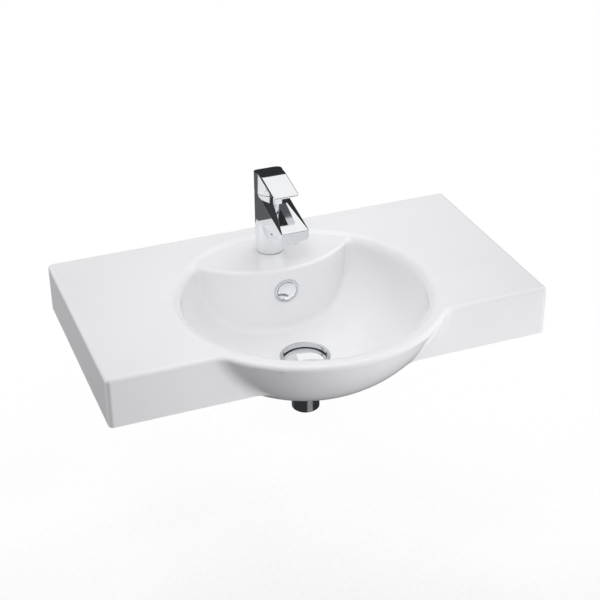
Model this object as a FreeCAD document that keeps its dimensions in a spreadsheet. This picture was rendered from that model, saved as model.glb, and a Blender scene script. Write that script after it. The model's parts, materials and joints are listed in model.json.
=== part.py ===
import FreeCAD, Part
import math
import operator
import os
from types import SimpleNamespace

import Sketcher
from FreeCAD import Placement, Rotation, Vector

# Wall-hung basin: a ceramic slab with a round bowl, a single-lever mixer and a push-plug waste.
# Frame: origin on the wall, midway between the two wall-fixing holes; X along the wall, -Y to the front, Z up.

# Driving dimensions, in millimetres and degrees.
SIZES = {
    # slab
    "basin_width": 650.0,
    "slab_depth": 340.0,
    "slab_height": 74.0,
    "slab_corner": 7.0,
    "top_round": 5.5,
    "side_wall": 12.0,
    "back_wall": 14.0,
    "deck_thick": 16.0,
    "hollow_corner": 10.0,
    # wall fixing
    "fixing_drop": 45.0,
    "fixing_spacing": 280.0,
    "fixing_radius": 7.0,
    # bowl
    "bowl_setback": 214.0,
    "bowl_depth": 136.5,
    "bowl_arc": 198.0,
    "bowl_flat": 21.0,
    "seam_round": 25.0,
    "rim_radius": 193.0,
    "rim_roll": 15.0,
    "drain_depth": 112.0,
    "floor_slope": 7.5,
    "seat_radius": 35.5,
    "seat_draft": 1.0,
    "seat_depth": 10.5,
    "seat_slope": 8.0,
    "outlet_radius": 23.0,
    "outlet_boss_radius": 33.0,
    "outlet_boss_drop": 2.0,
    # platform that carries the mixer
    "platform_drop": 3.0,
    "platform_radius": 161.0,
    "platform_centre": 234.0,
    "platform_wall": 14.0,
    "platform_round": 5.0,
    "crease_round": 10.0,
    # overflow
    "overflow_drop": 40.0,
    "overflow_radius": 12.5,
    "overflow_ring_radius": 19.0,
    "overflow_ring_height": 3.0,
    "overflow_ring_lip": 3.4,
    "overflow_floor": 1.0,
    "overflow_sleeve": 14.0,
    "overflow_sleeve_wall": 2.5,
    "overflow_cap_gap": 1.2,
    "overflow_cap_thick": 0.8,
    "overflow_cap_crown": 1.4,
    "overflow_fin": 2.0,
    "overflow_fin_depth": 8.0,
    "overflow_notch": 2.4,
    "overflow_notch_spread": 6.5,
    "overflow_inset": 2.0,
    "channel_width": 30.0,
    "channel_depth": 13.0,
    "channel_wall": 8.0,
    "channel_cover": 17.0,
    "duct_width": 24.0,
    "duct_height": 8.0,
    "duct_drop": 124.5,
    "duct_floor": 6.0,
    # waste
    "tail_radius": 20.95,
    "tail_bore": 18.5,
    "tail_ledge": 1.7,
    "tail_length": 87.0,
    "tail_chamfer": 1.5,
    "tail_groove": 1.5,
    "tail_groove_depth": 0.6,
    "flange_radius": 37.5,
    "flange_lip": 2.2,
    "flange_round": 1.2,
    "cup_wall": 1.8,
    "waste_seal": 1.6,
    "waste_seal_width": 9.0,
    "waste_slot": 10.0,
    "cone_seal_height": 6.0,
    "cone_seal_radius": 32.0,
    "cone_seal_taper": 4.0,
    "backnut_flats": 52.0,
    "backnut_height": 9.0,
    "plug_radius": 30.0,
    "plug_gap": 1.5,
    "plug_edge": 1.2,
    "plug_crown": 2.8,
    "plug_boss_radius": 8.0,
    "plug_boss_length": 5.5,
    "plug_seal_bore": 20.5,
    "plug_seal_width": 6.5,
    "stem_radius": 5.0,
    "stem_length": 52.0,
    "stem_socket": 4.5,
    "guide_drop": 150.0,
    "guide_height": 6.0,
    "guide_ring": 3.0,
    "guide_arm": 3.0,
    "barrel_radius": 8.0,
    "barrel_top": 12.0,
    "barrel_depth": 24.0,
    # mixer body
    "tap_setback": 71.0,
    "tap_hole": 17.5,
    "column_radius": 21.2,
    "base_gasket": 1.5,
    "base_gasket_radius": 20.6,
    "base_gasket_width": 2.8,
    "parting_height": 97.0,
    "spout_top": 101.0,
    "spout_slope": 12.5,
    "spout_width": 42.0,
    "spout_reach": 110.0,
    "spout_tip_drop": 16.0,
    "spout_rise": 8.0,
    "spout_round": 6.0,
    "spout_edge": 1.4,
    "tip_corner": 1.3,
    "root_reach": 52.0,
    "root_gap": 0.5,
    "swing_room": 1.6,
    "flat_slope": 16.5,
    "facet_angle": 24.6,
    "facet_drop": 0.6,
    "waterway_radius": 4.0,
    "waterway_rise": 9.6,
    "inlet_radius": 4.6,
    "inlet_spread": 8.0,
    "inlet_forward": 2.0,
    "dot_height": 32.5,
    "dot_angle": 8.0,
    "dot_radius": 2.2,
    "dot_depth": 4.0,
    # mixer fixing
    "stud_radius": 4.0,
    "stud_back": 12.5,
    "stud_bury": 16.0,
    "stud_tail": 45.0,
    "clamp_radius": 27.0,
    "clamp_slot": 26.0,
    "clamp_slot_back": 5.5,
    "clamp_gasket": 3.0,
    "clamp_plate": 2.5,
    "stud_nut_flats": 13.0,
    "stud_nut_height": 6.5,
    # aerator
    "aerator_forward": 92.0,
    "aerator_radius": 11.0,
    "aerator_boss": 2.5,
    "aerator_depth": 8.0,
    "aerator_face": 56.0,
    "aerator_lip": 3.0,
    "aerator_flange": 1.5,
    "aerator_wall": 1.6,
    "aerator_mesh": 3.5,
    "jet_pitch": 2.9,
    "jet_radius": 0.8,
    "aerator_washer": 1.5,
    # cartridge, measured along the column from the parting plane
    "cartridge_radius": 17.5,
    "cartridge_wall": 1.9,
    "cartridge_depth": 36.0,
    "cartridge_base": 4.0,
    "cartridge_top": 5.5,
    "cartridge_roof": 3.2,
    "port_radius": 3.0,
    "port_front": 9.2,
    "port_seal_radius": 4.9,
    "port_seal_height": 1.3,
    "fixed_disc_thick": 3.5,
    "moving_disc_radius": 10.8,
    "moving_disc_thick": 3.4,
    "mixing_pocket": 7.0,
    "mixing_pocket_depth": 1.6,
    "pivot_depth": 9.0,
    "spindle_arm": 11.0,
    "ball_radius": 3.0,
    "ball_room": 0.25,
    "shank_radius": 2.2,
    "spindle_square": 8.0,
    "spindle_top": 20.5,
    "neck_radius": 9.5,
    "neck_top": 3.5,
    "guide_lift": 0.7,
    "pin_radius": 1.5,
    "pin_length": 18.0,
    "nut_radius": 18.9,
    "nut_bore": 10.4,
    "nut_flats": 22.6,
    "nut_hex": 4.0,
    "dome_radius": 21.3,
    "dome_wall": 1.3,
    "dome_opening": 12.6,
    # lever
    "lever_top": 134.1,
    "lever_slope": 12.3,
    "lever_reach": 76.0,
    "lever_width": 39.0,
    "lever_tip": 3.0,
    "plate_root": 4.0,
    "lever_edge": 1.5,
    "lever_corner": 4.0,
    "crown_forward": 27.0,
    "crown_radius": 68.0,
    "head_gap": 0.45,
    "skirt_drop": 2.1,
    "lift_angle": 22.0,
    "screw_radius": 2.5,
    "screw_height": 16.5,
    "screw_length": 10.0,
    # clearances
    "fit_gap": 0.05,
    "slide_gap": 0.3,
    "seat_gap": 0.4,
}

doc = FreeCAD.newDocument("WallBasin")
sheet = doc.addObject("Spreadsheet::Sheet", "Sizes")
for row, (name, number) in enumerate(SIZES.items(), 1):
    sheet.set(f"A{row}", name)
    sheet.set(f"B{row}", str(number))
    sheet.setAlias(f"B{row}", name)
doc.recompute()

OPERATIONS = {"+": operator.add, "-": operator.sub, "*": operator.mul, "/": operator.truediv}


class Size:
    # A number together with the sheet formula that yields it.
    def __init__(self, value, formula):
        self.value = value
        self.formula = formula

    def __add__(self, other):
        return combine(self, "+", other)

    def __radd__(self, other):
        return combine(other, "+", self)

    def __sub__(self, other):
        return combine(self, "-", other)

    def __rsub__(self, other):
        return combine(other, "-", self)

    def __mul__(self, other):
        return combine(self, "*", other)

    def __rmul__(self, other):
        return combine(other, "*", self)

    def __truediv__(self, other):
        return combine(self, "/", other)

    def __neg__(self):
        return combine(0.0, "-", self)


def as_size(number):
    if isinstance(number, Size):
        return number
    return Size(float(number), repr(float(number)))


def combine(first, sign, second):
    first = as_size(first)
    second = as_size(second)
    value = OPERATIONS[sign](first.value, second.value)
    return Size(value, f"({first.formula} {sign} {second.formula})")


def root(size):
    return Size(math.sqrt(size.value), f"sqrt({size.formula})")


def sine(size):
    return Size(math.sin(math.radians(size.value)), f"sin({size.formula})")


def cosine(size):
    return Size(math.cos(math.radians(size.value)), f"cos({size.formula})")


def tangent(size):
    return Size(math.tan(math.radians(size.value)), f"tan({size.formula})")


def smaller(first, second):
    return first if first.value < second.value else second


def other_side(long_side, short_side):
    # third side of a right triangle
    return root(long_side * long_side - short_side * short_side)


s = SimpleNamespace(**{name: Size(number, f"Sizes.{name}") for name, number in SIZES.items()})


def bind(obj, path, size):
    obj.setExpression(path, as_size(size).formula)


def place(obj, x=0.0, y=0.0, z=0.0, tilt=0.0):
    # tilt turns the piece about X, so that its own +Z leans to the front
    x, y, z, tilt = as_size(x), as_size(y), as_size(z), as_size(tilt)
    obj.Placement = Placement(Vector(x.value, y.value, z.value), Rotation(Vector(1, 0, 0), tilt.value))
    for axis, size in (("x", x), ("y", y), ("z", z)):
        bind(obj, f"Placement.Base.{axis}", size)
    if tilt.value:
        bind(obj, "Placement.Rotation.Angle", tilt)
    return obj


def arc_between(start, end, radius):
    # minor arc; a positive radius runs counter-clockwise from start to end
    first, last = (start, end) if radius > 0 else (end, start)
    chord = last - first
    inward = Vector(-chord.y, chord.x, 0).normalize()
    reach = math.sqrt(max(radius * radius - chord.Length ** 2 / 4, 0.0))
    centre = (first + last) * 0.5 + inward * reach
    begin = math.atan2(first.y - centre.y, first.x - centre.x)
    finish = math.atan2(last.y - centre.y, last.x - centre.x)
    if finish < begin:
        finish += 2 * math.pi
    return Part.ArcOfCircle(Part.Circle(centre, Vector(0, 0, 1), abs(radius)), begin, finish)


def outline(body, role, points):
    # Closed sketch; a point is (across, up), with a third entry where an arc of that radius starts.
    sketch = body.newObject("Sketcher::SketchObject", f"{body.Name}_outline")
    plane = [item for item in body.Origin.OriginFeatures if item.Role == role][0]
    sketch.AttachmentSupport = [(plane, "")]
    sketch.MapMode = "FlatFace"
    points = [tuple(as_size(number) for number in point) for point in points]
    corners = [Vector(point[0].value, point[1].value, 0) for point in points]
    starts = []
    for index, point in enumerate(points):
        end = corners[(index + 1) % len(points)]
        radius = point[2].value if len(point) > 2 else 0.0
        if radius:
            sketch.addGeometry(arc_between(corners[index], end, radius), False)
        else:
            sketch.addGeometry(Part.LineSegment(corners[index], end), False)
        starts.append(2 if radius < 0 else 1)
    for index in range(len(points)):
        after = (index + 1) % len(points)
        sketch.addConstraint(Sketcher.Constraint("Coincident", index, 3 - starts[index], after, starts[after]))
    for index, point in enumerate(points):
        for kind, word, size in (("DistanceX", "across", point[0]), ("DistanceY", "up", point[1])):
            made = sketch.addConstraint(Sketcher.Constraint(kind, -1, 1, index, starts[index], size.value))
            sketch.renameConstraint(made, f"{word}_{index}")
            bind(sketch, f"Constraints.{word}_{index}", size)
        if len(point) > 2:
            made = sketch.addConstraint(Sketcher.Constraint("Radius", index, abs(point[2].value)))
            sketch.renameConstraint(made, f"arc_{index}")
            bind(sketch, f"Constraints.arc_{index}", -point[2] if point[2].value < 0 else point[2])
    return sketch


def turned(name, points):
    # solid of revolution about the piece's own Z
    body = doc.addObject("PartDesign::Body", name)
    profile = outline(body, "XZ_Plane", points)
    spin = body.newObject("PartDesign::Revolution", f"{name}_turn")
    spin.Profile = profile
    spin.ReferenceAxis = (profile, ["V_Axis"])
    spin.Angle = 360.0
    return body


def ring(name, inner, outer, low, high):
    return turned(name, [(inner, low), (outer, low), (outer, high), (inner, high)])


def padded(name, role, points, thickness):
    # outline made as thick as stated, half to each side of its plane
    body = doc.addObject("PartDesign::Body", name)
    profile = outline(body, role, points)
    pad = body.newObject("PartDesign::Pad", f"{name}_pad")
    pad.Profile = profile
    pad.SideType = "Symmetric"
    bind(pad, "Length", thickness)
    return body


def rod(name, radius, length):
    piece = doc.addObject("Part::Cylinder", name)
    bind(piece, "Radius", radius)
    bind(piece, "Height", length)
    return piece


def block(name, length, width, height):
    piece = doc.addObject("Part::Box", name)
    bind(piece, "Length", length)
    bind(piece, "Width", width)
    bind(piece, "Height", height)
    return piece


def hexagon(name, flats, height):
    piece = doc.addObject("Part::Prism", name)
    piece.Polygon = 6
    bind(piece, "Circumradius", flats / 2 / cosine(as_size(30.0)))
    bind(piece, "Height", height)
    return piece


def fused(name, *pieces):
    joined = doc.addObject("Part::MultiFuse", name)
    joined.Shapes = list(pieces)
    joined.Refine = True
    return joined


def cut(name, base, *tools):
    # takes the tools away one after another, the last result carrying the name
    for count, tool in enumerate(tools, 1):
        label = name if count == len(tools) else f"{name}_stage_{count}"
        result = doc.addObject("Part::Cut", label)
        result.Base = base
        result.Tool = tool
        base = result
    return base


def rounded(name, base, radius, chosen):
    # fillet on the edges that the test picks
    doc.recompute()
    picked = [number for number, edge in enumerate(base.Shape.Edges, 1) if chosen(edge)]
    if not picked:
        raise ValueError(f"{name}: no edge to round")
    piece = doc.addObject("Part::Fillet", name)
    piece.Base = base
    piece.Edges = [(number, radius.value, radius.value) for number in picked]
    return piece


def middle(edge):
    return edge.valueAt((edge.FirstParameter + edge.LastParameter) / 2)


def near(first, second, slack=0.01):
    return abs(first - second) < slack


def straight(edge):
    return edge.Curve.TypeId == "Part::GeomLine"


def upright(edge):
    return straight(edge) and abs(edge.tangentAt(edge.FirstParameter).z) > 0.999


def level(edge, height):
    box = edge.BoundBox
    return near(box.ZMin, height.value) and near(box.ZMax, height.value)


def follows(edge, height):
    # whether the edge lies in the sloping plane whose height is given for each y
    points = edge.discretize(5)
    return all(near(point.z, height(as_size(point.y)).value) for point in points)


nodes = []


def keep(piece, label):
    piece.Label = label
    nodes.append(piece)
    return piece


# Heights and places that several pieces share.
deck = s.fixing_drop
slab_bottom = deck - s.slab_height
front = -s.slab_depth
bowl_y = -s.bowl_setback
half_width = s.basin_width / 2
past = s.bowl_depth + s.fixing_drop
platform_y = bowl_y + s.platform_centre
wall_front = platform_y - s.platform_radius
tap_y = wall_front + s.tap_setback
seat_inner = s.seat_radius - s.seat_draft


def seat_height(radius):
    # conical ceramic floor of the waste's seat, below the deck
    return -s.drain_depth - s.seat_depth - (seat_inner - radius) * tangent(s.seat_slope)


# Basin, outside: slab and bowl, blended where the bowl stands out of the front face, and the overflow rib.
# Both start taller than the deck, which trims them after the blend.
spare = s.seam_round
slab_block = block("slab_block", s.basin_width, s.slab_depth, s.slab_height + spare)
place(slab_block, -half_width, front, slab_bottom)
slab = rounded(
    "slab", slab_block, s.slab_corner,
    lambda edge: upright(edge) and near(middle(edge).y, front.value))
bowl_outside = turned("bowl_outside", [
    (0, spare),
    (0, -s.bowl_depth),
    (s.bowl_flat, -s.bowl_depth, s.bowl_arc),
    (s.bowl_flat + other_side(s.bowl_arc, s.bowl_arc - s.bowl_depth - spare), spare),
])
place(bowl_outside, 0, bowl_y, deck)
outlet_boss = rod("outlet_boss", s.outlet_boss_radius, s.bowl_depth - s.drain_depth + s.outlet_boss_drop)
place(outlet_boss, 0, bowl_y, deck - s.bowl_depth - s.outlet_boss_drop)
bowl_solid = fused("bowl_solid", bowl_outside, outlet_boss)
outside = fused("outside", slab, bowl_solid)


def on_front_seam(edge):
    box = edge.BoundBox
    in_front = near(box.YMin, front.value) and near(box.YMax, front.value)
    return in_front and box.ZLength > 20 and not straight(edge)


# The bowl's seam on the front face dips this far below the deck, and the blend keeps within the wall there.
front_reach = s.slab_depth - s.bowl_setback
seam_dip = other_side(s.bowl_arc, front_reach - s.bowl_flat) - s.bowl_arc + s.bowl_depth
seam_room = seam_dip - s.slab_height if seam_dip.value > s.slab_height.value else s.slab_height - seam_dip
blended = rounded("blended", outside, smaller(s.seam_round, seam_room), on_front_seam)
deck_trim = block("deck_trim", s.basin_width, 3 * s.slab_depth, 2 * spare)
place(deck_trim, -half_width, 2 * front, deck)
wall_trim = place(block("wall_trim", s.basin_width, s.bowl_arc, 2 * past), -half_width, 0, deck - past)
trimmed = cut("trimmed", blended, deck_trim, wall_trim)
top_rounded = rounded(
    "top_rounded", trimmed, s.top_round,
    lambda edge: level(edge, deck) and middle(edge).y < -1)
channel_back = -wall_front - s.channel_cover - s.channel_depth
boss_depth = s.channel_depth + s.channel_wall
boss_foot = s.duct_drop + s.duct_height + s.duct_floor
overflow_boss = block("overflow_boss", s.channel_width + 2 * s.channel_wall, boss_depth + s.channel_wall,
                      boss_foot - s.deck_thick / 2)
place(overflow_boss, -s.channel_width / 2 - s.channel_wall, -channel_back - boss_depth, deck - boss_foot)
duct_rib = block("duct_rib", s.duct_width + 2 * s.channel_wall, s.bowl_setback - channel_back,
                 boss_foot - s.drain_depth)
place(duct_rib, -s.duct_width / 2 - s.channel_wall, bowl_y, deck - boss_foot)
overflow_rib = fused("overflow_rib", overflow_boss, duct_rib)
ribbed = fused("ribbed", top_rounded, overflow_rib)

# Basin, underside: open hollow round the bowl and behind the wall under the mixer.
hollow_block = block(
    "hollow_block", s.basin_width - 2 * s.side_wall, s.slab_depth - s.side_wall - s.back_wall, past)
place(hollow_block, s.side_wall - half_width, front + s.side_wall, deck - s.deck_thick - past)
hollow_box = rounded("hollow_box", hollow_block, s.hollow_corner, upright)
hollow_back = rod("hollow_back", s.platform_radius - s.platform_wall, 2 * past)
place(hollow_back, 0, platform_y, deck - 2 * past)
wall_radius = s.rim_radius - s.rim_roll
corner_shift = (wall_radius * wall_radius - s.platform_radius * s.platform_radius) / s.platform_centre / 2
shell_end = bowl_y + s.platform_centre / 2 + corner_shift + s.platform_wall
shell_trim = block("shell_trim", s.basin_width, s.slab_depth, 2 * past)
place(shell_trim, -half_width, shell_end, deck - 2 * past)
bowl_shell = cut("bowl_shell", bowl_solid, hollow_back, shell_trim)
hollow = cut("hollow", hollow_box, bowl_shell, overflow_rib)

# Basin, inside of the bowl: rolled rim, round wall, sloping floor and the recessed seat of the waste.
floor_height = s.drain_depth - s.rim_roll
floor_run = wall_radius - s.seat_radius
floor_sine = sine(s.floor_slope)
floor_cosine = cosine(s.floor_slope)
wall_arc = (floor_height * floor_cosine - floor_run * floor_sine) / (1.0 - floor_sine)
cavity = turned("cavity", [
    (0, s.top_round),
    (0, seat_height(s.outlet_radius)),
    (s.outlet_radius, seat_height(s.outlet_radius)),
    (seat_inner, seat_height(seat_inner)),
    (s.seat_radius, -s.drain_depth),
    (wall_radius - wall_arc + wall_arc * floor_sine, -s.rim_roll - wall_arc * floor_cosine, wall_arc),
    (wall_radius, -s.rim_roll, -s.rim_roll),
    (s.rim_radius, 0),
    (s.rim_radius, s.top_round),
])
place(cavity, 0, bowl_y, deck)
platform_edge = -s.platform_drop - s.platform_round
platform = turned("platform", [
    (0, -past),
    (s.platform_radius, -past),
    (s.platform_radius, platform_edge, s.platform_round),
    (s.platform_radius - s.platform_round, -s.platform_drop),
    (0, -s.platform_drop),
])
place(platform, 0, platform_y, deck)
bowl_space = cut("bowl_space", cavity, platform)
doc.recompute()


def on_crease(edge):
    probe = Part.Vertex(middle(edge))
    touch = 0.001
    gaps = [min(probe.distToShape(face)[0] for face in piece.Shape.Faces) for piece in (cavity, platform)]
    return max(gaps) < touch


bowl_inside = rounded("bowl_inside", bowl_space, s.crease_round, on_crease)

# Basin, holes: waste outlet, overflow with its channel and duct, mixer hole, wall fixings.
overflow_z = deck - s.overflow_drop
overflow_seat = wall_front + s.overflow_inset
outlet = place(rod("outlet", s.outlet_radius, past), 0, bowl_y, deck - s.drain_depth - past)
ring_recess = rod("ring_recess", s.overflow_ring_radius + s.seat_gap, s.platform_wall)
place(ring_recess, 0, overflow_seat, overflow_z, 90)
overflow_hole = rod("overflow_hole", s.overflow_radius, s.channel_cover + s.channel_depth)
place(overflow_hole, 0, -channel_back, overflow_z, 90)
channel_height = s.duct_drop + s.duct_height - s.overflow_drop + s.overflow_radius
channel = block("channel", s.channel_width, s.channel_depth, channel_height)
place(channel, -s.channel_width / 2, -channel_back - s.channel_depth, deck - s.duct_drop - s.duct_height)
duct = block("duct", s.duct_width, s.bowl_setback - channel_back, s.duct_height)
place(duct, -s.duct_width / 2, bowl_y, deck - s.duct_drop - s.duct_height)
mixer_hole = place(rod("mixer_hole", s.tap_hole, 2 * s.deck_thick), 0, tap_y, deck - 1.5 * s.deck_thick)
fixings = []
for side, word in ((-1, "left"), (1, "right")):
    hole = rod(f"fixing_{word}", s.fixing_radius, 2 * s.back_wall)
    fixings.append(place(hole, side * s.fixing_spacing / 2, s.back_wall / 2, 0, 90))
keep(cut("basin", ribbed, hollow, bowl_inside, outlet, ring_recess, overflow_hole, channel, duct,
         mixer_hole, *fixings), "basin")

# Overflow trim: ring in the recess with a sleeve in the hole, and a capped cross that stands in it.
# Both are turned about an axis that points to the front.
sleeve_radius = s.overflow_radius - s.seat_gap
sleeve_bore = sleeve_radius - s.overflow_sleeve_wall
lip_radius = s.overflow_ring_radius - s.overflow_ring_lip
lip_round = s.overflow_ring_height - s.overflow_floor
overflow_ring = turned("overflow_ring", [
    (sleeve_bore, -s.overflow_sleeve),
    (sleeve_radius, -s.overflow_sleeve),
    (sleeve_radius, 0),
    (s.overflow_ring_radius, 0),
    (s.overflow_ring_radius, s.overflow_floor, lip_round),
    (s.overflow_ring_radius - lip_round, s.overflow_ring_height),
    (lip_radius, s.overflow_ring_height),
    (lip_radius, s.overflow_floor),
    (sleeve_bore, s.overflow_floor),
])
keep(place(overflow_ring, 0, overflow_seat, overflow_z, 90), "overflow_ring")
cap_radius = lip_radius - s.overflow_cap_gap
cap_low = s.overflow_ring_height - s.overflow_cap_thick
crown_arc = (cap_radius * cap_radius + s.overflow_cap_crown * s.overflow_cap_crown) / 2 / s.overflow_cap_crown
cap_disc = turned("cap_disc", [
    (0, cap_low),
    (cap_radius, cap_low),
    (cap_radius, s.overflow_ring_height, crown_arc),
    (0, s.overflow_ring_height + s.overflow_cap_crown),
])
place(cap_disc, 0, overflow_seat, overflow_z, 90)
shoulder = (sleeve_bore + cap_radius) / 2
fin_reach = sleeve_bore - s.fit_gap
cross = []
for word, across, up in (("level", 1, 0), ("upright", 0, 1)):
    for depth_word, reach, low, high in (
            ("shoulder", shoulder, s.overflow_floor, cap_low),
            ("fin", fin_reach, -s.overflow_fin_depth, cap_low)):
        span = (2 * reach, s.overflow_fin) if across else (s.overflow_fin, 2 * reach)
        fin = block(f"{depth_word}_{word}", span[0], high - low, span[1])
        cross.append(place(fin, -span[0] / 2, overflow_seat - high, overflow_z - span[1] / 2))
notches = []
for side, word in ((-1, "left"), (1, "right")):
    notch = rod(f"notch_{word}", s.overflow_notch, s.platform_wall)
    drop = other_side(cap_radius, s.overflow_notch_spread)
    notches.append(place(notch, side * s.overflow_notch_spread, overflow_seat - s.overflow_floor,
                         overflow_z - drop, 90))
keep(cut("overflow_cap", fused("cap_solid", cap_disc, *cross), *notches), "overflow_cap")

# Waste: cupped flange and threaded tail in one piece, with overflow slots and a ledge for the plug guide.


def cup_under(radius):
    return seat_height(radius) + s.waste_seal


def cup_floor(radius):
    return cup_under(radius) + s.cup_wall


lip_low = (s.flange_radius - s.seat_radius) * tangent(s.floor_slope) + s.fit_gap - s.drain_depth
lip_top = lip_low + s.flange_lip
cup_outer = s.seat_radius - s.seat_gap
cup_foot = seat_inner - s.seat_gap
tail_end = -s.drain_depth - s.tail_length
boss_face = -s.bowl_depth - s.outlet_boss_drop
nut_face = boss_face - s.cone_seal_height - s.backnut_height
groove_top = nut_face - s.tail_groove
groove_radius = s.tail_radius - s.tail_groove_depth
ledge_bore = s.tail_bore - s.tail_ledge
waste_turned = turned("waste_turned", [
    (s.flange_radius, lip_low),
    (s.flange_radius, lip_top - s.flange_round, s.flange_round),
    (s.flange_radius - s.flange_round, lip_top),
    (cup_outer - s.cup_wall, lip_top),
    (cup_foot - s.cup_wall, cup_floor(cup_foot)),
    (s.tail_bore, cup_floor(s.tail_bore)),
    (s.tail_bore, -s.guide_drop),
    (ledge_bore, -s.guide_drop),
    (ledge_bore, tail_end),
    (s.tail_radius - s.tail_chamfer, tail_end),
    (s.tail_radius, tail_end + s.tail_chamfer),
    (s.tail_radius, groove_top - s.tail_groove),
    (groove_radius, groove_top - s.tail_groove),
    (groove_radius, groove_top),
    (s.tail_radius, groove_top),
    (s.tail_radius, cup_under(s.tail_radius)),
    (cup_foot, cup_under(cup_foot)),
    (cup_outer, lip_low),
])
place(waste_turned, 0, bowl_y, deck)
slot_low = deck - s.duct_drop - s.duct_height
slot_span = 4 * s.tail_radius
slot_back = place(block("slot_back", s.waste_slot, slot_span, s.duct_height), -s.waste_slot / 2,
                  bowl_y - slot_span / 2, slot_low)
slot_side = place(block("slot_side", slot_span, s.waste_slot, s.duct_height), -slot_span / 2,
                  bowl_y - s.waste_slot / 2, slot_low)
keep(cut("waste_body", waste_turned, slot_back, slot_side), "waste_body")
seal_bore = s.outlet_radius + s.seat_gap
seal_edge = seal_bore + s.waste_seal_width
waste_top_seal = turned("waste_top_seal", [
    (seal_bore, seat_height(seal_bore)),
    (seal_edge, seat_height(seal_edge)),
    (seal_edge, cup_under(seal_edge)),
    (seal_bore, cup_under(seal_bore)),
])
keep(place(waste_top_seal, 0, bowl_y, deck), "waste_top_seal")
thread_gap = s.tail_radius + s.fit_gap
waste_bottom_seal = turned("waste_bottom_seal", [
    (thread_gap, boss_face),
    (thread_gap, boss_face - s.cone_seal_height),
    (s.cone_seal_radius - s.cone_seal_taper, boss_face - s.cone_seal_height),
    (s.cone_seal_radius, boss_face),
])
keep(place(waste_bottom_seal, 0, bowl_y, deck), "waste_bottom_seal")
nut_low = deck + nut_face
backnut_solid = place(hexagon("backnut_solid", s.backnut_flats, s.backnut_height), 0, bowl_y, nut_low)
backnut_bore = place(rod("backnut_bore", thread_gap, 2 * s.backnut_height), 0, bowl_y,
                     nut_low - s.backnut_height / 2)
keep(cut("waste_backnut", backnut_solid, backnut_bore), "waste_backnut")

# Plug: domed cap, seal and stem, shown seated in the cup; the barrel on its arms guides the stem.
plug_low = cup_floor(s.plug_radius) + s.plug_gap
plug_arc = (s.plug_radius * s.plug_radius + s.plug_crown * s.plug_crown) / 2 / s.plug_crown
stem_fit = s.stem_radius + s.fit_gap
plug_cap = turned("plug_cap", [
    (0, plug_low + s.plug_edge + s.plug_crown),
    (0, plug_low - s.plug_boss_length + s.stem_socket),
    (stem_fit, plug_low - s.plug_boss_length + s.stem_socket),
    (stem_fit, plug_low - s.plug_boss_length),
    (s.plug_boss_radius, plug_low - s.plug_boss_length),
    (s.plug_boss_radius, plug_low),
    (s.plug_radius, plug_low),
    (s.plug_radius, plug_low + s.plug_edge, plug_arc),
])
keep(place(plug_cap, 0, bowl_y, deck), "plug_cap")
plug_seal_edge = s.plug_seal_bore + s.plug_seal_width
plug_seal = turned("plug_seal", [
    (s.plug_seal_bore, plug_low),
    (s.plug_seal_bore, cup_floor(s.plug_seal_bore) + s.slide_gap),
    (plug_seal_edge, cup_floor(plug_seal_edge) + s.slide_gap),
    (plug_seal_edge, plug_low),
])
keep(place(plug_seal, 0, bowl_y, deck), "plug_seal")
stem_top = plug_low - s.plug_boss_length + s.stem_socket
keep(place(rod("plug_stem", s.stem_radius, s.stem_length), 0, bowl_y, deck + stem_top - s.stem_length),
     "plug_stem")
barrel_low = -s.guide_drop - s.barrel_depth
barrel_floor = stem_top - s.stem_length - s.slide_gap
barrel = turned("barrel", [
    (0, barrel_low),
    (s.barrel_radius, barrel_low),
    (s.barrel_radius, s.barrel_top - s.guide_drop),
    (stem_fit, s.barrel_top - s.guide_drop),
    (stem_fit, barrel_floor),
    (0, barrel_floor),
])
place(barrel, 0, bowl_y, deck)
guide_outer = s.tail_bore - s.fit_gap
guide_hoop = ring("guide_hoop", guide_outer - s.guide_ring, guide_outer, -s.guide_drop,
                  s.guide_height - s.guide_drop)
place(guide_hoop, 0, bowl_y, deck)
arm_middle = (s.barrel_radius + stem_fit) / 2
arm_end = guide_outer - s.guide_ring / 2
arms = []
for word, sideways, way in (("right", 1, 1), ("left", 1, -1), ("back", 0, 1), ("front", 0, -1)):
    run = arm_end - arm_middle
    span = (run, s.guide_arm) if sideways else (s.guide_arm, run)
    near_end = arm_middle if way > 0 else -arm_end
    arm = block(f"arm_{word}", span[0], span[1], s.guide_height)
    arm_x = near_end if sideways else -s.guide_arm / 2
    arm_y = -s.guide_arm / 2 if sideways else near_end
    arms.append(place(arm, arm_x, bowl_y + arm_y, deck - s.guide_drop))
keep(fused("plug_guide", barrel, guide_hoop, *arms), "plug_guide")

# Mixer: cartridge and lever share the column's upright axis; heights count from the nominal parting plane.
platform_z = deck - s.platform_drop
base_z = platform_z + s.base_gasket
parting_z = deck + s.parting_height
pivot_up = -s.pivot_depth


def stacked(piece, x=0.0, back=0.0, up=0.0, tilt=0.0):
    # places a piece by its offset from the point where the axis meets the parting plane
    return place(piece, x, tap_y + back, parting_z + up, tilt)


def globe(name, radius):
    # sphere about the lever's pivot
    piece = doc.addObject("Part::Sphere", name)
    bind(piece, "Radius", radius)
    return stacked(piece, 0, 0, pivot_up)


def shoulder_height(y):
    # line on which the spout's sides end
    return deck + s.spout_top + (y - tap_y) * tangent(s.spout_slope) - s.facet_drop


tip_y = tap_y - s.spout_reach
tip_top = shoulder_height(tip_y) + s.facet_drop
tip_bottom = tip_top - s.spout_tip_drop


def flat_height(y):
    # flat top of the spout, which widens to the tip between two facets
    return tip_top + (y - tip_y) * tangent(s.flat_slope)


def spout_floor(y):
    return tip_bottom - (y - tip_y) * tangent(s.spout_rise)


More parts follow.
